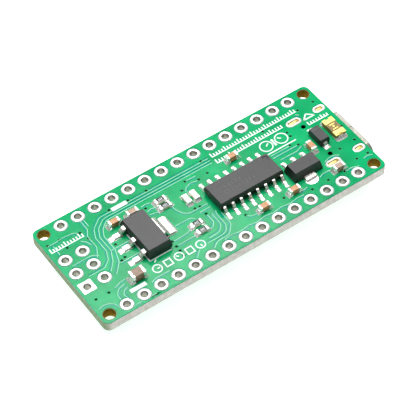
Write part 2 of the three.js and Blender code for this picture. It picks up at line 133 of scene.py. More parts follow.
def node(tree, kind, *fed, **settings):
    """A new shader node. fed pairs an input with what it is given: a socket or a constant."""
    made = tree.nodes.new(f"ShaderNode{kind}")
    for key, value in settings.items():
        setattr(made, key, value)
    for key, value in fed:
        if isinstance(value, bpy.types.NodeSocket):
            tree.links.new(value, made.inputs[key])
        else:
            made.inputs[key].default_value = value
    return made


def ranged(tree, value, *limits):
    """A value carried over from one range to another: the old lowest and highest, then the new."""
    keys = ("From Min", "From Max", "To Min", "To Max")
    return node(tree, "MapRange", ("Value", value), *zip(keys, limits)).outputs["Result"]


def ramp(tree, value, *stops):
    """A colour that runs from one stop to another, each a position and a colour, with a value."""
    made = node(tree, "ValToRGB", ("Fac", value))
    for stop, (position, colour) in zip(made.color_ramp.elements, stops):
        stop.position = position
        stop.color = colour
    return made.outputs["Color"]


def sky():
    """Bright overhead, dim low down, with a dark flag where the board would mirror it."""
    world = bpy.data.worlds.new("studio")
    world.use_nodes = True
    tree = world.node_tree
    where = node(tree, "TexCoord").outputs["Generated"]
    background = tree.nodes["Background"]

    def toward(direction):
        made = node(tree, "VectorMath", (0, where), (1, direction), operation="DOT_PRODUCT")
        return made.outputs["Value"]

    dim, bright = (0.22, 0.22, 0.22, 1), (0.62, 0.62, 0.62, 1)
    grey = ramp(tree, toward((0.12, 0.3, 1.0)), (0.05, dim), (0.8, bright))
    tree.links.new(grey, background.inputs["Color"])
    flag = ranged(tree, toward((0.41, 0.55, 0.73)), 0.8, 0.97, 0.8, 0.2)
    tree.links.new(flag, background.inputs["Strength"])
    bpy.context.scene.world = world


def lights():
    """An overhead panel, whose far edge just spares the board's far and socket ends its sheen."""
    area_light("overhead_panel", (0.27, 0.2), 1.4, (0.018, 0.112, 0.3))
    azimuth, elevation, distance = math.radians(150), math.radians(30), 0.5
    away = Vector((math.sin(azimuth) * math.cos(elevation),
                   -math.cos(azimuth) * math.cos(elevation), math.sin(elevation)))
    fill = area_light("far_right", (0.2, 0.2), 0.35, away * distance)
    fill.rotation_mode = "QUATERNION"
    fill.rotation_quaternion = away.to_track_quat("Z", "Y")


def white_paper():
    """Bright paper that can't be seen from below, so that the board's lower side can."""
    paper = bpy.data.materials.new("white_paper")
    paper.use_nodes = True
    tree = paper.node_tree
    shader = tree.nodes["Principled BSDF"]
    shader.inputs["Base Color"].default_value = (0.8, 0.8, 0.8, 1)
    shader.inputs["Roughness"].default_value = 0.9
    shader.inputs["Emission Color"].default_value = (1, 1, 1, 1)
    shader.inputs["Emission Strength"].default_value = 0.74
    back = node(tree, "NewGeometry").outputs["Backfacing"]
    clear = node(tree, "BsdfTransparent").outputs["BSDF"]
    pick = node(tree, "MixShader", ("Fac", back), (1, shader.outputs["BSDF"]), (2, clear))
    tree.links.new(pick.outputs["Shader"], tree.nodes["Material Output"].inputs["Surface"])
    return paper


def studio():
    sky()
    lights()
    bpy.context.scene.view_settings.view_transform = "Standard"
    half, gap = 3, 0.00002
    mesh = bpy.data.meshes.new("floor")
    corners = [(-half, -half, 0), (half, -half, 0), (half, half, 0), (-half, half, 0)]
    mesh.from_pydata(corners, [], [(0, 1, 2, 3)])
    mesh.materials.append(white_paper())
    floor = linked("floor", mesh)
    floor.location.z = -gap


# ---------------------------------------------------------------- materials

def linear(red, green, blue):
    """A colour as seen on a screen, 0 to 255, as linear light."""
    parts = [c / 255 for c in (red, green, blue)]
    return [c / 12.92 if c < 0.04045 else ((c + 0.055) / 1.055) ** 2.4 for c in parts] + [1]


FINISH, SLOT = {}, {}


def surface(name, slot, dark, light, grain, rough, bump=None, **fixed):
    """Makes a finish for one of the record's slots. Its colour and roughness drift a little.

    grain is the size of the colour's patches and bump is (depth, size), all in millimetres. fixed
    holds the shader's constant inputs, with _ for a space.
    """
    made = bpy.data.materials.new(name)
    made.use_nodes = True
    tree = made.node_tree
    shader = tree.nodes["Principled BSDF"]
    for key, value in fixed.items():
        shader.inputs[key.replace("_", " ")].default_value = value
    where = node(tree, "TexCoord").outputs["Object"]

    def patches(size, detail=4):
        return node(tree, "TexNoise", ("Scale", 1 / (size * MM)), ("Detail", detail),
                    ("Vector", where)).outputs["Fac"]

    low, high = 0.3, 0.7
    colour = ramp(tree, patches(grain), (low, linear(*dark)), (high, linear(*light)))
    tree.links.new(colour, shader.inputs["Base Color"])
    spread = ranged(tree, patches(grain * 0.6, 6), low, high, *rough)
    tree.links.new(spread, shader.inputs["Roughness"])
    if bump:
        depth, size = bump
        relief = node(tree, "Bump", ("Distance", depth * MM), ("Height", patches(size, 6)))
        tree.links.new(relief.outputs["Normal"], shader.inputs["Normal"])
    FINISH[name], SLOT[name] = made, slot


def coordinate(made, space, axis, *steps):
    """One coordinate of a material's space, passed through (operation, number) steps."""
    tree = made.node_tree
    where = node(tree, "TexCoord").outputs[space]
    value = node(tree, "SeparateXYZ", ("Vector", where)).outputs[axis]
    for operation, number in steps:
        value = node(tree, "Math", (0, value), (1, number), operation=operation).outputs[0]
    return value


def tinted(made, amount, colour):
    """Multiplies a material's colour by another, as much as the amount says."""
    tree = made.node_tree
    base = tree.nodes["Principled BSDF"].inputs["Base Color"]
    mix = node(tree, "Mix", ("A", base.links[0].from_socket), ("B", linear(*colour)),
               ("Factor", amount), data_type="RGBA", blend_type="MULTIPLY")
    tree.links.new(mix.outputs["Result"], base)
    return made


def painted_green_end_shade(made):
    """Darkens and greens the faces that look along x, the ends where the board was broken from its
    panel: painted shade with a green cast.
    """
    return tinted(made, coordinate(made, "Normal", "X", ("ABSOLUTE", 0)), (132, 168, 112))


def layered(made, period, darker):
    """Adds the faint level lines of glass cloth to a material, one every period of height."""
    wave = coordinate(made, "Object", "Z", ("MULTIPLY", 2 * math.pi / (period * MM)), ("SINE", 0))
    return tinted(made, ranged(made.node_tree, wave, -1, 1, 0, darker), (120, 125, 100))


surface("laminate", "board_laminate", (186, 184, 175), (216, 215, 208), 0.6, (0.5, 0.7),
        (0.01, 0.15))
# Bare laminate in the screw holes: its own olive tone, darkened with painted shade.
surface("drilled", "board_laminate", (116, 92, 4), (158, 130, 14), 0.4, (0.6, 0.8), (0.02, 0.1),
        Specular_IOR_Level=0.08)
# Near black for the insides of the vias and the peg holes: painted shade.
surface("painted_hole_shade", "board_laminate", (4, 10, 6), (12, 20, 12), 0.3, (0.7, 0.9), (0.01, 0.1),
        Specular_IOR_Level=0.1)
surface("mask", "board_laminate", (3, 138, 114), (8, 152, 126), 2.5, (0.12, 0.19), (0.003, 0.5),
        Specular_IOR_Level=0.2)
surface("pour", "board_laminate", (4, 144, 86), (12, 168, 104), 3.0, (0.12, 0.19), (0.004, 0.5),
        Specular_IOR_Level=0.2)
# Pale mask over the copper's edges: partly its own lighter tone, partly a painted highlight.
surface("pale_mask_edge_and_highlight", "board_laminate", (148, 218, 182), (184, 234, 206), 1.0, (0.3, 0.45),
        (0.004, 0.3), Specular_IOR_Level=0.2)
surface("pad", "solder", (234, 234, 231), (250, 250, 247), 0.5, (0.3, 0.44), (0.004, 0.4),
        Metallic=0.5)
surface("tin", "solder", (232, 232, 229), (250, 250, 247), 0.35, (0.16, 0.34), (0.007, 0.4),
        Metallic=0.75)
# Dark grey plating inside the holes: painted shade.
surface("barrel_painted_shade", "solder", (136, 132, 124), (176, 172, 164), 0.35, (0.18, 0.32), (0.01, 0.3),
        Metallic=1.0)
surface("lead", "tinned_lead", (204, 200, 194), (236, 234, 228), 0.3, (0.2, 0.4), (0.008, 0.12),
        Metallic=0.95)
surface("steel", "bare_steel", (164, 160, 150), (182, 178, 168), 1.4, (0.27, 0.35), (0.0006, 0.4),
        Metallic=0.9)
surface("gold", "gold_contact", (236, 208, 100), (250, 230, 142), 0.4, (0.3, 0.42), (0.002, 0.2),
        Metallic=0.6)
surface("epoxy", "moulded_epoxy", (9, 9, 11), (22, 22, 26), 0.16, (0.36, 0.52), (0.014, 0.08),
        Specular_IOR_Level=0.66)
surface("epoxy_mark", "moulded_epoxy", (40, 40, 43), (54, 54, 58), 0.2, (0.46, 0.6), (0.01, 0.1),
        Specular_IOR_Level=0.7)
surface("ink", "white_ink", (214, 232, 230), (240, 248, 246), 0.4, (0.5, 0.7), (0.008, 0.1))
surface("brown", "brown_capacitor", (178, 120, 76), (202, 150, 106), 0.4, (0.3, 0.45), (0.01, 0.08))
surface("taupe", "brown_capacitor", (116, 92, 72), (146, 118, 96), 0.4, (0.3, 0.42), (0.01, 0.08))
surface("pale", "pale_capacitor", (150, 122, 102), (180, 152, 132), 0.4, (0.3, 0.42), (0.01, 0.08))
surface("white_ceramic", "white_ceramic", (222, 214, 200), (240, 234, 222), 0.3, (0.45, 0.6),
        (0.01, 0.07))
surface("black_glaze", "black_glaze", (18, 18, 20), (30, 30, 32), 0.3, (0.2, 0.35), (0.006, 0.1),
        Coat_Weight=0.3)
surface("fuse", "fuse_laminate", (112, 88, 40), (150, 124, 66), 0.4, (0.35, 0.5), (0.01, 0.1))
surface("black_plastic", "black_plastic", (18, 18, 19), (30, 30, 31), 0.4, (0.35, 0.5),
        (0.008, 0.1))
surface("button", "button_plastic", (216, 214, 206), (232, 230, 222), 0.8, (0.35, 0.5),
        (0.006, 0.15))
surface("lens", "lamp_lens", (232, 226, 186), (244, 240, 206), 0.3, (0.15, 0.25),
        Transmission_Weight=0.35)
surface("brown_ceramic", "brown_ceramic", (60, 48, 40), (80, 66, 56), 0.3, (0.5, 0.65),
        (0.01, 0.08))
surface("flux", "solder", (206, 180, 96), (236, 216, 140), 0.4, (0.2, 0.4), (0.02, 0.25),
        Metallic=0.7)
# The laminate's glass-cloth lines, and painted green shade on its ends.
painted_green_end_shade(layered(FINISH["laminate"], 0.36, 0.22))


# ---------------------------------------------------------------- shapes

def joined(shapes):
    verts, faces = [], []
    for points, polygons in shapes:
        start = len(verts)
        verts += points
        faces += [tuple(start + i for i in face) for face in polygons]
    return verts, faces


def moved(shape, x=0.0, y=0.0, turn=0.0):
    matrix = Matrix.Translation((x, y, 0)) @ Matrix.Rotation(turn, 4, "Z")
    return [matrix @ Vector(p) for p in shape[0]], shape[1]


def stack(rings, closed=False):
    """A skin over rings of equal length: capped at both ends, or closed on itself."""
    count, size = len(rings), len(rings[0])
    verts = [Vector(p) for ring in rings for p in ring]
    faces = []
    for k in range(count if closed else count - 1):
        a, b = k * size, (k + 1) % count * size
        faces += [(a + i, a + (i + 1) % size, b + (i + 1) % size, b + i) for i in range(size)]
    if not closed:
        faces += [tuple(range(size)), tuple(range((count - 1) * size, count * size))]
    return verts, faces


def circle(radius, x=0.0, y=0.0, steps=32):
    return [(x + radius * math.cos(2 * math.pi * i / steps),
             y + radius * math.sin(2 * math.pi * i / steps)) for i in range(steps)]


def rectangle(length, width, corner, steps=4):
    """A rectangle with round corners. A corner of half the width makes a stadium."""
    corner = max(min(corner, length / 2, width / 2), 1e-4)
    points = []
    for k, (sx, sy) in enumerate(((1, 1), (-1, 1), (-1, -1), (1, -1))):
        for i in range(steps + 1):
            angle = (k + i / steps) * RIGHT_ANGLE
            points.append((sx * (length / 2 - corner) + corner * math.cos(angle),
                           sy * (width / 2 - corner) + corner * math.sin(angle)))
    return points


def shifted(loop, x, y):
    return [(a + x, b + y) for a, b in loop]


def level(loop, z):
    return [(x, y, z) for x, y in loop]


def turned(profile, steps=32):
    """Rings about the z axis through a profile of (radius, height)."""
    return [level(circle(radius, steps=steps), z) for radius, z in profile]


def prism(outline, holes, low, high):
    """A plate with holes."""
    loops = [outline, *holes]
    flat = [Vector((x, y, 0)) for loop in loops for x, y in loop]
    count = len(flat)
    verts = [Vector((p.x, p.y, high)) for p in flat] + [Vector((p.x, p.y, low)) for p in flat]
    faces = []
    for a, b, c in tessellate_polygon([[Vector((x, y, 0)) for x, y in loop] for loop in loops]):
        faces += [(a, b, c), (c + count, b + count, a + count)]
    start = 0
    for loop in loops:
        size = len(loop)
        for i in range(size):
            a, b = start + i, start + (i + 1) % size
            faces.append((a, b, b + count, a + count))
        start += size
    return verts, faces


def rounded_block(length, width, low, high, corner, edge, draft=0.0, base_edge=0.0, parting=0.5):
    """A block with round upright and top edges.

    It is widest at its parting, a share of its height, and drawn in by draft at its top. Below the
    parting it is drawn in at the same slope.
    """
    widest = low + (high - low) * parting
    low_draft = draft * (widest - low) / (high - widest)
    turns = [i * RIGHT_ANGLE / 3 for i in range(4)]
    profile = [(low + base_edge * (1 - math.sin(a)), low_draft + base_edge * (1 - math.cos(a)))
               for a in reversed(turns)] if base_edge else [(low, low_draft)]
    if draft and parting:
        profile.append((widest, 0))
    profile += [(high - edge + edge * math.sin(a), draft + edge * (1 - math.cos(a))) for a in turns]
    return stack([level(rectangle(length - 2 * tuck, width - 2 * tuck, corner - tuck), z)
                  for z, tuck in profile])


def bent(points, radius, steps=4):
    """The points of a line whose inner corners are rounded, each with its direction."""
    line = [Vector(p) for p in points]
    path = [(line[0], (line[1] - line[0]).normalized())]
    for before, corner, after in zip(line, line[1:], line[2:]):
        come, go = (corner - before).normalized(), (after - corner).normalized()
        angle = come.angle(go)
        reach = min(radius * math.tan(angle / 2), (corner - before).length * 0.45,
                    (after - corner).length * 0.45)
        start, end = corner - come * reach, corner + go * reach
        for i in range(steps + 1):
            t = i / steps
            point = start * (1 - t) ** 2 + corner * 2 * t * (1 - t) + end * t * t
            path.append((point, (come * (1 - t) + go * t).normalized()))
    path.append((line[-1], (line[-1] - line[-2]).normalized()))
    return path


def strip(points, thickness, width, radius):
    """Bent sheet metal: a line in x and z, given a thickness and a width across y."""
    chamfer = thickness * 0.2
    t, w = thickness / 2, width / 2
    section = [(-w, -t + chamfer), (-w + chamfer, -t), (w - chamfer, -t), (w, -t + chamfer),
               (w, t - chamfer), (w - chamfer, t), (-w + chamfer, t), (-w, t - chamfer)]
    rings = []
    for point, along in bent(points, radius):
        normal = Vector((-along.y, along.x))
        rings.append([(point.x + normal.x * n, y, point.y + normal.y * n) for y, n in section])
    return stack(rings)


def mound(length, width, height, across=14, along=18, power=4.0, sunk=0.05):
    """Solder on a pad: a low heap over a rounded rectangle, with height(x, y) above its crown."""
    rings = []
    for i in range(along + 1):
        x = (i / along * 2 - 1) * length / 2
        ring = []
        for j in range(across + 1):
            y = (j / across * 2 - 1) * width / 2
            near_edge = abs(2 * x / length) ** power + abs(2 * y / width) ** power
            rise = max(0.0, 1 - near_edge) ** 0.5
            ring.append((x, y, -sunk + (sunk + height(x, y)) * rise))
        rings.append(ring + [(x, width / 2, -sunk - 0.01), (x, -width / 2, -sunk - 0.01)])
    return stack(rings)


def track(points, width, low, high, slope, aside=0.0):
    """A flat line with sloping sides and eased corners, moved aside to its left."""
    sides = [[], [], [], []]
    half = width / 2
    for point, along in bent(points, 0.9, 5):
        normal = Vector((-along.y, along.x))
        for side, reach in zip(sides, (half + slope, -half - slope, half, -half)):
            side.append(point + normal * (reach + aside))
    outer = [(p.x, p.y) for p in sides[0] + sides[1][::-1]]
    inner = [(p.x, p.y) for p in sides[2] + sides[3][::-1]]
    return stack([level(outer, low), level(inner, high)])


# ---------------------------------------------------------------- pieces

def settle(made, smooth):
    """Smooths a piece between its sharp edges, with its large faces kept flat."""
    made.data.shade_smooth()
    made.data.set_sharp_from_angle(angle=math.radians(smooth))
    weighted = made.modifiers.new("weighted", "WEIGHTED_NORMAL")
    weighted.keep_sharp = True
    weighted.weight = 100


def as_mesh(name, shape, place, triangles=False):
    mesh = bpy.data.meshes.new(name)
    mesh.from_pydata([tuple(v) for v in shape[0]], [], shape[1])
    bm = bmesh.new()
    bm.from_mesh(mesh)
    bmesh.ops.recalc_face_normals(bm, faces=bm.faces)
    if triangles:
        bmesh.ops.triangulate(bm, faces=bm.faces)
    bm.to_mesh(mesh)
    bm.free()
    mesh.transform(place)
    return mesh


def placed(side, at, turn):
    return side @ Matrix.Translation((at[0], at[1], 0)) @ Matrix.Rotation(turn, 4, "Z")


def piece(name, shape, side, finish, at=(0, 0), turn=0.0, body="root", replaces=(), smooth=38):
    """Makes the shape a piece in its finish, on a side of the board, and rides it on its body."""
    mesh = as_mesh(name, shape, placed(side, at, turn))
    mesh.materials.append(FINISH[finish])
    made = linked(name, mesh)
    settle(made, smooth)
    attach(made, body)
    if replaces:
        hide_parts(*replaces)
    return made


def repaint(finish, *nodes):
    """Gives CAD nodes that keep their shape a finish of their own."""
    for node in nodes:
        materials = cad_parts[node].data.materials
        materials.clear()
        materials.append(FINISH[finish])


def carve(target, tools):
    """Cuts closed shapes, each with its place, out of a piece."""
    target.modifiers.clear()
    for i, (shape, place) in enumerate(tools):
        tool = linked(f"tool_{i}", as_mesh(f"tool_{i}", shape, place, triangles=True))
        cut = target.modifiers.new("cut", "BOOLEAN")
        cut.operation = "DIFFERENCE"
        cut.object = tool
        cut.solver = "EXACT"
        graph = bpy.context.evaluated_depsgraph_get()
        result = bpy.data.meshes.new_from_object(target.evaluated_get(graph))
        target.modifiers.remove(cut)
        target.data = result
        bpy.data.objects.remove(tool)
    settle(target, 38)


def spot(side, node):
    """A CAD node's box on a side of the board: its centre and its size, in millimetres."""
    corners = [side.inverted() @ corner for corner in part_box(node)]
    low = Vector(map(min, *corners))
    high = Vector(map(max, *corners))
    return (low + high) / 2, high - low


# ---------------------------------------------------------------- the board

def pin_places():
    for side in (-1, 1):
        for i in range(PIN_COUNT):
            yield (i - (PIN_COUNT - 1) / 2) * PITCH, side * PIN_Y


def program_places():
    for x in PROGRAM_X:
        for row in (-1, 0, 1):
            yield x, row * PITCH


def mirrored(loops):
    """The same lines on the other side of the board's middle."""
    return [[(x, -y) for x, y in loop] for loop in loops]


VIAS = (
    (-20.85, 5.8), (-19.1, 5.8), (-16.45, 5.2), (-19.0, 4.1), (-16.05, 3.85), (-11.5, 6.15),
    (-8.65, 6.1), (-5.9, 6.05), (-7.6, 3.6), (-13.85, 1.0), (-14.6, -1.6), (-14.0, -1.4),
    (-20.45, -4.8), (-18.6, -4.85), (-7.9, -2.85), (-7.9, -3.8), (-7.9, -4.6), (-7.95, -5.5),
    (2.55, 6.0), (-1.05, 4.35), (2.1, 3.85), (0.6, 3.6), (-2.2, 3.3), (-2.55, -0.1),
    (-1.85, -0.2), (-1.9, -1.65), (2.0, -4.8), (14.5, 3.35), (14.5, 2.6), (13.5, 1.35),
    (14.45, 0.8), (18.0, 5.7), (20.55, 5.75), (12.05, 5.4), (7.55, -5.4), (11.3, -6.4),
    (13.9, -6.35), (16.5, -6.45), (18.35, -3.0), (20.85, -2.85), (19.05, -5.65), (20.8, -5.7),
    (20.95, 0.05),
)

# Where the edges of the flooded copper show through the mask on the upper side.
UPPER_TRACES = (
    ((3.6, 5.85), (-13.2, 5.85), (-14.7, 4.7), (-15.35, 3.3), (-15.35, 0.8), (-15.9, -0.5),
     (-16.9, -1.3), (-19.2, -1.3)),
    ((3.6, 5.4), (-12.9, 5.4), (-14.2, 4.4), (-14.85, 3.1), (-14.85, 0.5), (-15.6, -1.1),
     (-16.6, -2.2)),
    ((3.6, 4.95), (-12.7, 4.95), (-13.8, 4.0), (-14.35, 2.9), (-14.35, 0.4), (-15.0, -1.6),
     (-16.3, -3.0)),
    ((-15.42, 6.7), (-15.42, 5.1), (-16.0, 4.2), (-16.0, 2.0), (-16.8, 0.6)),
    ((-15.0, 6.7), (-15.0, 5.5)),
    ((-20.0, 1.25), (-17.2, 1.25), (-16.5, 0.7)),
    ((-17.95, -6.6), (-17.95, -5.8), (-17.3, -5.1), (-16.3, -4.9)),
    ((-17.6, -4.7), (-16.6, -4.35), (-15.9, -4.3)),
    ((-17.1, -7.0), (-17.3, -6.3), (-16.9, -5.7), (-16.3, -5.5)),
    ((-21.0, -6.35), (-20.3, -6.1), (-19.5, -6.25), (-18.95, -6.8), (-18.8, -7.3)),
    ((-16.9, -8.4), (-16.1, -8.4)),
    ((-14.6, -8.4), (-13.9, -8.4)),
    ((-20.9, 5.65), (-19.6, 5.65), (-18.8, 5.8), (-17.2, 5.65), (-16.7, 5.3)),
    ((-20.35, 5.3), (-20.35, 3.7)),
    ((-17.1, 4.0), (-16.55, 3.4), (-16.35, 2.7)),
    ((-14.9, 0.45), (-12.0, 0.45)),
    ((-14.9, -1.87), (-12.0, -1.87)),
    ((-7.9, 4.1), (-7.1, 4.2), (-6.6, 4.0)),
    ((-7.75, 3.0), (-7.0, 3.15), (-6.5, 2.95)),
    ((-7.75, 2.4), (-7.0, 2.25), (-6.5, 2.05)),
    ((-4.75, 2.0), (-4.65, 1.1), (-4.2, 0.1), (-3.5, -0.4), (-0.8, -0.4)),
    ((-6.2, -1.05), (-3.9, -1.05), (-3.5, -1.6)),
    ((-2.4, -1.05), (-0.8, -1.05)),
    ((-7.7, -2.95), (-5.7, -2.9), (-5.0, -2.6)),
    ((-7.7, -3.8), (-5.0, -3.8)),
    ((-1.9, -1.85), (-1.9, -3.3), (-2.4, -3.9), (-2.9, -3.95)),
    ((-0.65, -1.9), (-0.85, -2.4), (-0.9, -4.5), (-1.5, -5.45), (-2.3, -5.65), (-4.4, -5.65)),
    ((-1.35, -2.1), (-1.4, -4.2), (-2.2, -5.0), (-3.8, -5.1)),
    ((-0.25, -2.6), (-0.3, -4.8), (-1.4, -6.05), (-3.4, -6.15), (-4.2, -6.8)),
    ((-5.9, -5.9), (-6.8, -6.8)),
    ((-13.5, -6.7), (-12.8, -6.45), (-10.7, -6.45)),
    ((-2.4, -6.5), (-1.3, -6.35), (0.0, -6.6), (1.3, -6.4), (2.5, -6.6), (3.8, -6.4), (5.1, -6.6),
     (6.4, -6.4), (7.6, -6.6), (9.0, -6.4), (9.9, -6.5)),
    ((9.6, -5.95), (11.0, -5.75)),
    ((13.3, -5.4), (13.9, -5.15), (15.1, -5.15)),
    ((2.0, -4.9), (2.4, -5.4), (3.4, -5.55)),
    ((10.4, 1.25), (13.3, 1.25)),
    ((10.4, 0.75), (14.2, 0.75)),
    ((11.0, 0.0), (13.6, -0.05), (14.6, 0.3)),
    ((15.4, -3.7), (16.2, -3.4), (17.1, -3.45), (17.6, -3.85)),
    ((17.25, 5.25), (17.6, 4.9)),
    ((19.8, -6.15), (20.5, -6.0), (21.1, -6.3)),
    ((16.6, -6.5), (17.6, -6.45), (18.5, -6.85)),
    ((-1.9, 2.8), (-1.5, 3.45), (-0.6, 3.7), (0.3, 3.5)),
    ((-0.9, 4.35), (0.6, 4.3)),
)

# On the lower side they come in pairs, one on each side of the middle, except for the last.
PAIRED_TRACES = (
    ((2.4, 1.0), (-1.2, 1.9), (-2.2, 4.2), (-8.0, 5.6), (-14.4, 5.6)),
    ((2.6, 1.6), (0.0, 2.3), (-1.4, 4.6), (-7.0, 6.2), (-13.8, 6.2)),
    ((5.2, 4.6), (4.4, 5.4), (3.8, 6.9)),
    ((6.6, 5.6), (6.35, 6.9)),
    ((8.9, 5.8), (8.9, 6.9)),
    ((-8.1, 3.9), (-6.8, 3.9), (-6.2, 4.4)),
    ((-10.3, 1.3), (-11.2, 1.3)),
    ((-13.4, 3.2), (-15.4, 3.2), (-17.0, 2.6)),
    ((12.6, -1.3), (13.6, -1.3), (14.4, -0.8), (15.0, -0.8)),
)
LOWER_TRACES = (*PAIRED_TRACES, *mirrored(PAIRED_TRACES),
                ((-13.4, 1.0), (-15.2, 1.0), (-16.4, 0.2), (-17.0, 0.2)))


def drilled(pin, extra, corner=0.0):
    """All the board's holes: pins of that radius, slots wider by extra, screw holes by corner."""
    holes = [circle(pin, x, y) for x, y in (*pin_places(), *program_places())]
    holes += [circle(VIA_RADIUS, x, y, 12) for x, y in VIAS]
    holes += [circle(CORNER_RADIUS + corner, sx * CORNER_X, sy * CORNER_Y, 40)
              for sx, sy in QUARTERS]
    for side in (-1, 1):
        holes.append(circle(PEG_RADIUS, PEG_X, side * PEG_Y, 24))
        for x, slot, _, _ in SOCKET_LEGS:
            loop = rectangle(slot + 2 * extra, SLOT_WIDTH + 2 * extra, SLOT_WIDTH / 2 + extra, 6)
            holes.append(shifted(loop, x, side * LEG_Y))
    return holes


def sleeve(inner, outer, steps=40):
    """A tube in a hole, a little shorter than the board is thick."""
    low, high = -THICKNESS + 0.02, -0.02
    profile = [(inner, low), (inner, high), (outer, high), (outer, low)]
    return stack(turned(profile, steps), closed=True)


def laminate():
    depth = THICKNESS + LAMINATE
    shape = prism(rectangle(LENGTH, WIDTH, 0.9, 8), drilled(0.55, 0.08), -depth, LAMINATE)
    piece("circuit_board_laminate", shape, UPPER, "laminate", replaces=["circuit_board"])


def masked(name, side, traces):
    """The green side: a thin mask, and over it the flooded copper with grooves round its edges."""
    holes = drilled(0.93, 0.3, corner=0.03)
    wide_holes = drilled(1.0, 0.36, corner=0.1)
    if side is LOWER:
        holes, wide_holes = mirrored(holes), mirrored(wide_holes)
    bare_edge, copper_edge = 0.04, 0.12
    outline = rectangle(LENGTH - bare_edge, WIDTH - bare_edge, 0.88, 8)
    piece(f"{name}_mask", prism(outline, holes, LAMINATE - 0.005, MASK), side, "mask")
    inner = rectangle(LENGTH - copper_edge, WIDTH - copper_edge, 0.8, 8)
    flood = piece(f"{name}_flood", prism(inner, wide_holes, MASK - 0.005, COPPER), side, "pour")
    carve(flood, [(track(line, 0.3, COPPER + 0.02, MASK - 0.02, 0.0, -0.11), side)
                  for line in traces])
    # Pale strips beside the grooves, lightened by a painted highlight as well as by the thin mask's
    # own tone.
    edges = [track(line, 0.06, MASK - 0.01, COPPER + 0.008, 0.03, 0.03) for line in traces]
    piece(f"{name}_edges", joined(edges), side, "pale_mask_edge_and_highlight")


def pads():
    """Tinned rings on both sides of each plated hole, joined by the plated tube through it,
    coloured dark grey as painted shade inside the hole.
    """
    under = -THICKNESS
    half = [(0.5, -0.1), (0.5, 0.01), (0.53, 0.045), (0.6, 0.07), (0.7, 0.075), (0.8, 0.055),
            (0.87, 0.02), (0.89, -0.02), (0.89, LAMINATE - 0.01), (0.57, LAMINATE - 0.01)]
    profile = half + [(r, under - z) for r, z in reversed(half)]
    for name, places in (("pin_pads", pin_places), ("program_pads", program_places)):
        rings = []
        for x, y in places():
            verts, faces = stack(turned(profile, 40), closed=True)
            for v in verts:
                if v.z > 0:
                    v.z *= 1 + 0.5 * noise.noise(Vector((x, y, v.x * 1.4 + v.y)))
            rings.append(moved((verts, faces), x, y))
        piece(name, joined(rings), UPPER, "pad", smooth=60)
    # The plated tubes in the holes, dark grey as painted shade.
    barrels = [moved(sleeve(0.485, 0.53, 32), x, y) for x, y in (*pin_places(), *program_places())]
    piece("hole_barrels", joined(barrels), UPPER, "barrel_painted_shade")
    square = rectangle(1.8, 1.8, 0.12)
    plates = [prism(square, [circle(0.52)], low, high)
              for low, high in ((LAMINATE, 0.03), (under - 0.03, under + 0.05))]
    piece("first_program_pad", moved(joined(plates), PROGRAM_X[0], -PITCH), UPPER, "pad")


def vias():
    profile = [(VIA_RADIUS, -0.3), (VIA_RADIUS, 0.005), (VIA_RADIUS + 0.03, 0.015), (0.24, 0.014),
               (0.29, 0.0), (0.29, -0.02), (VIA_RADIUS + 0.02, -0.3)]
    one = stack(turned(profile, 16), closed=True)
    for name, side, sign in (("upper_vias", UPPER, 1), ("lower_vias", LOWER, -1)):
        shape = joined([moved(one, x, sign * y) for x, y in VIAS])
        piece(name, shape, side, "pour")
    # Dark fills inside the vias: painted shade for the small holes.
    plug = stack(turned([(VIA_RADIUS, -THICKNESS + 0.06), (VIA_RADIUS, -0.06)], 12))
    piece("via_shade_fills", joined([moved(plug, x, y) for x, y in VIAS]), UPPER, "painted_hole_shade")


def bare_holes():
    """The walls of the screw holes, bare laminate in its own olive tone darkened with painted
    shade, and of the socket's peg holes, near black as painted shade.
    """
    wall, into = 0.015, 0.03
    tube = sleeve(CORNER_RADIUS - wall, CORNER_RADIUS + into)
    corners = [moved(tube, sx * CORNER_X, sy * CORNER_Y) for sx, sy in QUARTERS]
    piece("screw_hole_walls", joined(corners), UPPER, "drilled")
    # The peg holes' walls, near black as painted shade.
    tube = sleeve(PEG_RADIUS - 0.02, PEG_RADIUS + into)
    pegs = [moved(tube, PEG_X, side * PEG_Y) for side in (-1, 1)]
    piece("peg_hole_walls", joined(pegs), UPPER, "painted_hole_shade")


def socket_slots():
    """Tinned ovals round the socket's slots, filled level with solder round the shell's legs."""
    rims, fills = [], []
    for side in (-1, 1):
        for x, slot, pad, _ in SOCKET_LEGS:
            inner = rectangle(slot, SLOT_WIDTH, SLOT_WIDTH / 2, 6)
            outer = rectangle(pad, SLOT_PAD_WIDTH, SLOT_PAD_WIDTH / 2, 6)
            middle = rectangle((slot + pad) / 2, (SLOT_WIDTH + SLOT_PAD_WIDTH) / 2,
                               SLOT_PAD_WIDTH / 2, 6)
            rings = [level(inner, -0.4), level(inner, 0.01), level(middle, 0.06), level(outer, 0.0),
                     level(outer, -0.08)]
            rims.append(moved(stack(rings, closed=True), x, side * LEG_Y))
            fill = mound(slot, SLOT_WIDTH, lambda a, b: -0.02, sunk=0.35)
            fills.append(moved(fill, x, side * LEG_Y))
    piece("slot_rims", joined(rims), UPPER, "pad")
    piece("slot_solder", joined(fills), UPPER, "flux")


# ---------------------------------------------------------------- generic marks

def bar(x, y, length, width):
    corners = [(x, y), (x + length, y), (x + length, y + width), (x, y + width)]
    return prism(corners, [], *MARK)


def line_mark(points, width):
    return track(points, width, *MARK, 0.0)


def ring_mark(x, y, radius, width):
    return prism(circle(radius, x, y), [circle(radius - width, x, y)], *MARK)


def ruler(x, y, count, step, tall):
    """Plain graduations, every fifth one longer."""
    made = [line_mark(((x - 0.1, y), (x + step * (count - 1) + 0.1, y)), 0.14)]
    for i in range(count):
        height = tall if i % 5 == 0 else tall * 0.7
        at = x + step * i
        made.append(line_mark(((at, y + 0.07), (at, y + height)), 0.18))
    return made


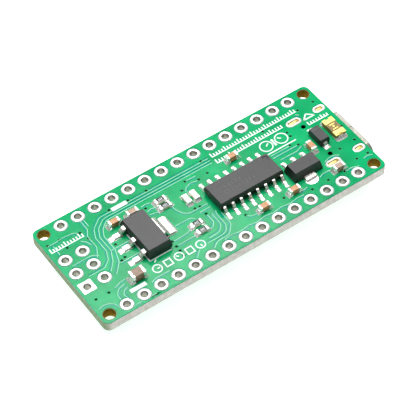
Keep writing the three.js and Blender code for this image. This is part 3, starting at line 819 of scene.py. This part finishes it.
def dial(x, y, radius, hand):
    """A ring with a hand: a plain stand-in for a symbol."""
    tip = (x + radius * 0.6 * math.cos(hand), y + radius * 0.6 * math.sin(hand))
    return [ring_mark(x, y, radius, 0.16), line_mark(((x, y), tip), 0.16)]


def frame_mark(x, y, length, width):
    outline, inner = ([(x + sx * (length / 2 - tuck), y + sy * (width / 2 - tuck))
                       for sx, sy in ((-1, -1), (1, -1), (1, 1), (-1, 1))] for tuck in (0, 0.16))
    return prism(outline, [inner], *MARK)


def upper_marks():
    marks = [bar(-11.2, 5.65, 2.25, 0.6), bar(-16.4, -6.6, 2.3, 0.6), bar(10.2, 1.6, 4.5, 0.18)]
    marks += ruler(4.2, 5.65, 32, 0.43, 0.7)
    marks += ruler(4.2, 4.42, 25, 0.43, 0.7)
    marks += ruler(-21.0, 4.45, 12, 0.42, 0.75)
    marks += [line_mark(((-11.85, 1.5), (-11.85, -3.85)), 0.18),
              line_mark(((-11.9, -3.8), (-8.6, -3.8)), 0.18)]
    marks += dial(10.9, 3.0, 0.95, 0.6) + dial(13.3, 3.0, 0.95, 2.4)
    marks += [bar(11.95, 2.4, 0.3, 1.2)]
    left, top, right = (17.6, 3.75), (18.4, 4.55), (19.3, 3.75)
    marks += [line_mark(ends, 0.2) for ends in ((left, top), (top, right), (left, right))]
    marks += ruler(17.7, 2.7, 8, 0.43, 0.6)
    for i in range(5):
        x = -11.75 + 1.62 * i
        marks += [frame_mark(x, -5.3, 1.1, 1.15)] if i % 2 else dial(x, -5.3, 0.68, 1.2 * i)
    marks += [line_mark(((-11.5, -4.3), (-11.1, -4.0)), 0.14)]
    piece("upper_marks", joined(marks), UPPER, "ink")


def lower_marks():
    marks = [line_mark(((x - 0.3, y * 0.83), (x + 0.3, y * 0.83)), 0.14) for x, y in pin_places()]
    marks += [line_mark(((x, -3.4), (x, 3.4)), 0.14) for x in (-7.0, -2.2)]
    marks += [ring_mark(-7.6, y, 0.22, 0.1) for y in (-3.9, -1.3, 1.3, 3.9)]
    piece("lower_marks", joined(marks), LOWER, "ink")


# ---------------------------------------------------------------- chip parts

def fillet_height(face, direction, rise, run):
    """Solder that climbs a face at x = face and runs out in the given direction."""
    crown = 0.035

    def height(x, y):
        away = (x - face) * direction
        if away < 0:
            return crown + rise * 0.8
        return crown + rise * max(0.0, 1 - away / run) ** 2
    return height


def chip_joints(name, side, at, turn, length, width, height, run):
    """Two solder fillets, one at each end of a chip part."""
    shapes = []
    pad_length = run + 0.45
    rise = min(height * 0.75, 0.5)
    for direction in (-1, 1):
        centre = direction * (length / 2 + run - pad_length / 2)
        climb = fillet_height(direction * length / 2 - centre, direction, rise, run)
        shapes.append(moved(mound(pad_length, width + 0.3, climb), centre))
    piece(f"{name}_joints", joined(shapes), side, "tin", at, turn, smooth=60)


def chip_ends(length, width, height, band):
    end = rounded_block(band, width + 0.02, 0.02, height, 0.07, 0.07, base_edge=0.03)
    return joined([moved(end, direction * (length - band) / 2) for direction in (-1, 1)])


def chip_part(node, side, finish):
    """A chip capacitor or resistor: its ceramic, its plated ends and its solder."""
    at, size = spot(side, node)
    turn = 0 if size.x > size.y else RIGHT_ANGLE
    length, width, height = max(size.x, size.y), min(size.x, size.y), size.z
    band = length * 0.2
    glazed = finish == "black_glaze"
    inner = rounded_block(length - 0.1, width - 0.04, 0.04, height - 0.035, 0.05, 0.04)
    piece(f"{node}_ceramic", inner, side, "white_ceramic" if glazed else finish, at, turn,
          replaces=[node])
    if glazed:
        glaze = rounded_block(length - 2 * band + 0.06, width - 0.12, height - 0.05, height + 0.005,
                              0.06, 0.02)
        piece(f"{node}_glaze", glaze, side, "black_glaze", at, turn)
        tick = rounded_block(0.07, 0.3, height - 0.01, height + 0.012, 0.01, 0.005)
        ticks = joined([moved(tick, x) for x in (-0.2, 0.0, 0.2)])
        piece(f"{node}_mark", ticks, side, "ink", at, turn)
    piece(f"{node}_ends", chip_ends(length, width, height, band), side, "tin", at, turn)
    chip_joints(node, side, at, turn, length, width, height, 0.42)


# ---------------------------------------------------------------- moulded chips

def moulded_body(node, side, draft, lowest, dimple=None, turn=0.0, size=None, parting=0.5):
    """A chip's moulding, with a dimple of (x, y, radius, depth). Gives its centre and its top."""
    centre, box = spot(side, node)
    length, width = size or (box.x, box.y)
    high = centre.z + box.z / 2
    shape = rounded_block(length, width, lowest, high, 0.06, 0.05, draft, 0.04, parting)
    body = piece(f"{node}_moulding", shape, side, "epoxy", centre, turn, replaces=[node])
    if dimple:
        x, y, radius, depth = dimple
        cup = stack(turned([(0.001, high - depth), (radius * 0.8, high - depth),
                            (radius, high + 0.02), (0.001, high + 0.02)], 32))
        carve(body, [(moved(cup, x, y), placed(side, centre, turn))])
    return centre, high


def chip_marks(name, side, at, high, rows, turn=0.0):
    """Faint plain dashes, laser-cut on a moulding: x, y, count, step and height of each row."""
    dashes = []
    for x, y, count, step, tall in rows:
        dash = rounded_block(0.28, tall, high - 0.01, high + 0.004, 0.04, 0.002)
        dashes += [moved(dash, x + i * step, y) for i in range(count)]
    piece(name, joined(dashes), side, "epoxy_mark", at, turn)


def gull(inner, knee, heel, toe, exit_height, thickness, width):
    points = [(inner, exit_height), (knee, exit_height),
              (heel, thickness / 2), (toe, thickness / 2)]
    return strip(points, thickness, width, thickness * 1.4)


def foot_joint(heel, toe, width, pad_width, beyond, thickness):
    """Solder under a lead's foot, climbing its toe and its sides."""
    length = toe - heel + 0.35 + beyond
    centre = toe + beyond - length / 2

    def height(x, y):
        away = max(x + centre - toe, 0)
        beside = max(abs(y) - width / 2, 0)
        gap = math.hypot(away / (beyond * 0.6), beside / max((pad_width - width) / 2, 0.01))
        swell = 0.07 * max(0.0, 1 - ((away - beyond * 0.62) / (beyond * 0.4)) ** 2) if away else 0
        return 0.025 + thickness * 0.6 * max(0.0, 1 - gap) ** 2 + swell
    return moved(mound(length, pad_width, height, 10, 16, 6.0), centre)


def gull_row(name, node, side, places, at, turn=0.0):
    """Leads and their solder, at each (offset, direction, lead, solder) round a chip."""
    leads = [moved(moved(lead, 0, offset), turn=way) for offset, way, lead, _ in places]
    joints = [moved(moved(heap, 0, offset), turn=way) for offset, way, _, heap in places]
    piece(name, joined(leads), side, "lead", at, turn, replaces=[node])
    piece(f"{name}_joints", joined(joints), side, "tin", at, turn, smooth=60)


def serial_bridge():
    centre, high = moulded_body("serial_bridge_body", UPPER, 0.16, 0.12,
                                dimple=(4.15, 1.1, 0.42, 0.08))
    lead = gull(1.7, 2.2, 2.45, 3.0, 0.78, 0.2, 0.42)
    heap = foot_joint(2.45, 3.0, 0.42, 0.62, 0.65, 0.2)
    places = [((i - 3.5) * PITCH / 2, way * RIGHT_ANGLE, lead, heap)
              for way in (-1, 1) for i in range(8)]
    gull_row("serial_bridge_leads", "serial_bridge_leadframe", UPPER, places, centre)
    chip_marks("serial_bridge_marks", UPPER, centre, high,
               [(-3.2, 0.35, 6, 0.55, 0.5), (-3.2, -0.45, 9, 0.55, 0.5)])


def main_regulator():
    centre, _ = moulded_body("main_regulator_body", UPPER, 0.24, 0.06, parting=0.35)
    lead, tab = (gull(1.5, 2.1, 2.45, 3.45, 0.9, 0.3, width) for width in (0.72, 3.0))
    heap = foot_joint(2.45, 3.45, 0.72, 1.0, 0.75, 0.3)
    tab_heap = foot_joint(2.45, 3.45, 3.0, 3.4, 0.4, 0.3)
    pitch = 2.3
    places = [(i * pitch, math.pi, lead, heap) for i in (-1, 0, 1)] + [(0, 0, tab, tab_heap)]
    gull_row("main_regulator_leads", "main_regulator_leadframe", UPPER, places, centre)


def small_regulator():
    centre, _ = moulded_body("small_regulator_body", UPPER, 0.3, 0.04, parting=0.12)
    thickness, pitch = 0.38, 1.5
    leads, joints = [], []
    for i, width in ((-1, 0.42), (0, 0.5), (1, 0.42)):
        lead = moved(rounded_block(1.2, width, 0.01, thickness, 0.03, 0.04), 1.6)
        heap = foot_joint(1.7, 2.2, width, width + 0.3, 0.5, thickness)
        leads.append(moved(lead, i * pitch, turn=RIGHT_ANGLE))
        joints.append(moved(heap, i * pitch, turn=RIGHT_ANGLE))
    tab = moved(rounded_block(1.4, 1.65, 0.01, thickness, 0.05, 0.06), 1.2)
    leads.append(moved(tab, turn=-RIGHT_ANGLE))
    pad = stack([level(rectangle(1.9, 1.9 - tuck, 0.9), z)
                 for z, tuck in ((-0.05, 0), (0.015, 0), (0.05, 0.12))])
    joints.append(moved(moved(pad, 1.75), turn=-RIGHT_ANGLE))
    piece("small_regulator_leads", joined(leads), UPPER, "lead", centre,
          replaces=["small_regulator_leadframe"])
    piece("small_regulator_leads_joints", joined(joints), UPPER, "tin", centre, smooth=60)


def diode():
    centre, high = moulded_body("diode_body", UPPER, 0.1, 0.04)
    lead = gull(0.9, 1.46, 1.5, 1.85, 0.5, 0.14, 0.58)
    heap = foot_joint(1.5, 1.85, 0.58, 1.0, 0.3, 0.14)
    for node, way in (("diode_cathode_lead", RIGHT_ANGLE), ("diode_anode_lead", -RIGHT_ANGLE)):
        gull_row(f"{node}_bent", node, UPPER, [(0, way, lead, heap)], centre)
    band = rounded_block(1.3, 0.3, high - 0.01, high + 0.004, 0.02, 0.002)
    piece("diode_band", band, UPPER, "epoxy_mark", (centre.x, centre.y + 0.85))


def main_chip():
    turn = RIGHT_ANGLE / 2
    centre, high = moulded_body("main_chip_body", LOWER, 0.12, 0.1, dimple=(-2.7, -2.7, 0.4, 0.06),
                                turn=turn, size=(7.0, 7.0))
    lead = gull(3.3, 3.75, 3.95, 4.5, 0.6, 0.14, 0.36)
    heap = foot_joint(3.95, 4.5, 0.36, 0.5, 0.45, 0.14)
    pitch = 0.8
    places = [((i - 3.5) * pitch, way * RIGHT_ANGLE, lead, heap)
              for way in range(4) for i in range(8)]
    gull_row("main_chip_leads", "main_chip_leadframe", LOWER, places, centre, turn)
    chip_marks("main_chip_marks", LOWER, centre, high,
               [(-1.9, 0.7, 8, 0.55, 0.55), (-1.9, -0.4, 6, 0.55, 0.55)], turn)


# ---------------------------------------------------------------- other parts

def fuse():
    """A laminated chip along y, whose gold ends have half-round plated notches."""
    at, size = spot(UPPER, "resettable_fuse")
    length, width, height = size.y, size.x, size.z
    notch, wall, band, foil, steps = 0.26, 0.05, 0.85, 0.05, 10
    core = rounded_block(length - 0.1, width - 0.02, 0.03, height - 0.04, 0.03, 0.03)
    made = piece("resettable_fuse_core", core, UPPER, "fuse", at, RIGHT_ANGLE,
                 replaces=["resettable_fuse"])
    hole = prism(circle(notch + wall), [], -0.1, height + 0.1)
    place = placed(UPPER, at, RIGHT_ANGLE)
    carve(made, [(moved(hole, direction * length / 2), place) for direction in (-1, 1)])

    def arc(radius, x):
        angles = [math.pi * (i / steps - 0.5) for i in range(steps + 1)]
        return [(x - radius * math.cos(a), radius * math.sin(a)) for a in angles]

    half = width / 2
    end = [(0, -half), (band, -half), *arc(notch, band), (band, half), (0, half)]
    lining = prism(arc(notch, 0) + arc(notch + wall, 0)[::-1], [], 0.0, height - 0.01)
    plates = []
    for direction, turn in ((-1, math.pi), (1, 0)):
        for low in (height - foil, 0.0):
            foot = prism(end, [], low, low + foil)
            plates.append(moved(foot, direction * (length / 2 - band), turn=turn))
        plates.append(moved(lining, direction * length / 2, turn=turn))
    piece("resettable_fuse_plating", joined(plates), UPPER, "gold", at, RIGHT_ANGLE)
    stroke = rounded_block(0.16, 0.85, height - 0.05, height - 0.01, 0.05, 0.01)
    dot = rounded_block(0.3, 0.3, height - 0.05, height - 0.01, 0.14, 0.01)
    mark = [moved(stroke, -0.42), moved(dot, 0.02), moved(stroke, 0.42)]
    piece("resettable_fuse_mark", joined(mark), UPPER, "gold", at, RIGHT_ANGLE)
    chip_joints("resettable_fuse", UPPER, at, RIGHT_ANGLE, length, width, height, 0.5)


def crystal():
    at, size = spot(LOWER, "crystal_base")
    base = rounded_block(size.x, size.y, 0.02, size.z, 0.25, 0.03)
    piece("crystal_ceramic", base, LOWER, "brown_ceramic", at, replaces=["crystal_base"])
    at, lid = spot(LOWER, "crystal_lid")
    cap = rounded_block(lid.x, lid.y, at.z - lid.z / 2, at.z + lid.z / 2, 0.35, 0.08)
    piece("crystal_cap", cap, LOWER, "steel", at, replaces=["crystal_lid"])
    heap = mound(1.1, 1.0, lambda x, y: 0.08)
    heaps = [moved(heap, sx * 0.85, sy * 1.25) for sx, sy in QUARTERS]
    piece("crystal_joints", joined(heaps), LOWER, "tin", at)


def lamps():
    foot = 0.33
    for node in ("power_lamp", "transmit_lamp", "receive_lamp", "user_lamp"):
        at, size = spot(LOWER, node)
        base = rounded_block(size.x - 0.02, size.y, 0.02, foot - 0.01, 0.04, 0.02)
        piece(f"{node}_base", base, LOWER, "white_ceramic", at, replaces=[node])
        lens = rounded_block(1.05, size.y - 0.02, foot - 0.03, size.z, 0.06, 0.06)
        piece(f"{node}_lens", lens, LOWER, "lens", at)
        piece(f"{node}_ends", chip_ends(size.x, size.y, foot, 0.24), LOWER, "gold", at)
        chip_joints(node, LOWER, at, 0, size.x, size.y, foot, 0.4)


def resistor_arrays():
    pitch = 0.8
    for node in ("resistor_array_1", "resistor_array_2"):
        at, size = spot(LOWER, node)
        base = rounded_block(size.x - 0.04, size.y, 0.03, size.z - 0.03, 0.04, 0.03)
        piece(f"{node}_ceramic", base, LOWER, "white_ceramic", at, replaces=[node])
        glaze = rounded_block(size.x - 0.6, size.y - 0.15, size.z - 0.05, size.z, 0.06, 0.02)
        piece(f"{node}_glaze", glaze, LOWER, "black_glaze", at)
        end = rounded_block(0.3, 0.46, 0.02, size.z, 0.05, 0.04)
        heap = moved(mound(0.7, 0.5, fillet_height(-0.1, 1, 0.3, 0.4), 8, 12), size.x / 2 + 0.1)
        ends, heaps = [], []
        for side, turn in ((-1, math.pi), (1, 0)):
            for k in range(4):
                y = (k - 1.5) * pitch
                ends.append(moved(end, side * (size.x / 2 - 0.14), y))
                heaps.append(moved(heap, 0, y, turn=turn))
        piece(f"{node}_ends", joined(ends), LOWER, "tin", at)
        piece(f"{node}_joints", joined(heaps), LOWER, "tin", at, smooth=60)


def reset_switch():
    """The switch's cover, button and solder. Its base and its terminals are the CAD's."""
    at, lid = spot(LOWER, "reset_switch_cover")
    top = at.z + lid.z / 2
    opening = rectangle(1.66, 3.16, 0.83, 10)
    shapes = [prism(rectangle(lid.x, lid.y, 0.25, 6), [opening], top - 0.15, top)]
    skirt = rounded_block(0.1, 4.0, 0.7, top - 0.02, 0.02, 0.02)
    shapes += [moved(skirt, side * (lid.x / 2 - 0.05)) for side in (-1, 1)]
    piece("reset_switch_plate", joined(shapes), LOWER, "steel", at, replaces=["reset_switch_cover"])
    button, size = spot(LOWER, "reset_button")
    head = button.z + size.z / 2
    rise = [(head - size.z, 0.0), (head - 0.12, 0.0), (head - 0.04, 0.035), (head, 0.12)]
    cap = stack([level(rectangle(1.5 - 2 * tuck, 3.0 - 2 * tuck, 0.75 - tuck, 12), z)
                 for z, tuck in rise])
    flange = stack([level(rectangle(2.0, 3.5, 1.0, 12), z) for z in (top - 0.52, top - 0.2)])
    piece("reset_button_cap", joined([cap, flange]), LOWER, "button", button, body="reset_plunger",
          replaces=["reset_button"])
    heap = foot_joint(3.1, 3.8, 1.4, 1.8, 0.5, 0.16)
    heaps = [moved(heap, turn=side * RIGHT_ANGLE) for side in (1, -1)]
    piece("reset_switch_joints", joined(heaps), LOWER, "tin", at, smooth=60)
    repaint("black_plastic", "reset_switch_base")
    repaint("lead", "reset_switch_terminal_1", "reset_switch_terminal_2")


def snap_dome():
    """The switch's spring: a thin dished disc, drawn at rest; the real one flattens under the
    button.
    """
    centre, size = spot(LOWER, "reset_switch_dome")
    radius, thickness, travel, steps = size.x / 2, 0.06, 0.25, 10
    floor, rise = centre.z - size.z / 2, size.z - thickness
    sphere = (radius ** 2 + rise ** 2) / (2 * rise)
    radii = [radius * i / steps for i in range(steps + 1)]
    inner = [(max(r, 0.01), floor + rise - sphere + math.sqrt(sphere ** 2 - r ** 2)) for r in radii]
    outer = [(r, z + thickness) for r, z in reversed(inner)]
    spring = piece("reset_switch_spring", stack(turned(inner + outer, 40)), LOWER, "steel", centre,
                   replaces=["reset_switch_dome"])
    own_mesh(spring)


def usb_socket():
    """The shell as one folded sheet, with its mouth's rim rounded and its legs and seam cut."""
    centre, size = spot(LOWER, "usb_shell")
    front, rear = centre.x + size.x / 2, centre.x - size.x / 2
    width, height, wall = 8.94, 3.2, 0.3
    middle = height / 2
    outside = [(rear, 0.08), (rear + 0.08, 0.0), (front - 0.08, 0.0), (front - 0.02, 0.03),
               (front, 0.09)]
    inside = [(front, wall - 0.07), (front - 0.05, wall), (rear + 0.25, wall)]
    rings = []
    for x, tuck in outside + inside:
        loop = rectangle(width - 2 * tuck, height - 2 * tuck, height / 2 - tuck, 12)
        rings.append([(x, a, b + middle) for a, b in loop])
    made = piece("usb_shell_sheet", stack(rings), LOWER, "steel", replaces=["usb_shell"])
    window = rounded_block(3.0, 7.0, -0.9, 0.9, 0.2, 0.02)
    seam = rounded_block(9.0, 0.07, -0.5, 0.5, 0.01, 0.01)
    carve(made, [(moved(window, rear), LOWER), (moved(seam, (front + rear) / 2, -0.27), LOWER)])
    legs, collars = [], []
    for side in (-1, 1):
        for x, _, pad, width_along in SOCKET_LEGS:
            leg = rounded_block(width_along, wall, -1.2, middle, 0.05, 0.03, base_edge=0.1)
            legs.append(moved(leg, x, side * LEG_Y))
            collars.append(moved(mound(pad, SLOT_PAD_WIDTH, lambda a, b: 0.12), x, side * LEG_Y))
    piece("usb_shell_legs", joined(legs), LOWER, "steel")
    heap = mound(0.9, 0.42, lambda x, y: 0.06, 8, 10)
    tails = [moved(heap, rear - 0.35, y) for y in TAIL_Y]
    piece("usb_tail_joints", joined(tails), LOWER, "tin")
    piece("usb_leg_joints", joined(collars), LOWER, "tin")
    repaint("black_plastic", "usb_insulator")
    repaint("steel", "usb_mid_plate")
    repaint("gold", "usb_contacts_board_side", "usb_contacts_far_side")


def all_chip_parts():
    for node in sorted(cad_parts):
        side = LOWER if node.startswith("lower_") else UPPER
        if "capacitor" in node:
            chip_part(node, side, OWN_FINISH.get(node, "brown"))
        elif "resistor_" in node and "array" not in node:
            chip_part(node, side, OWN_FINISH.get(node, "black_glaze"))


camera()
studio()
laminate()
masked("upper", UPPER, UPPER_TRACES)
masked("lower", LOWER, LOWER_TRACES)
pads()
vias()
bare_holes()
socket_slots()
upper_marks()
lower_marks()
all_chip_parts()
serial_bridge()
main_regulator()
small_regulator()
diode()
fuse()
main_chip()
crystal()
lamps()
resistor_arrays()
reset_switch()
snap_dome()
usb_socket()
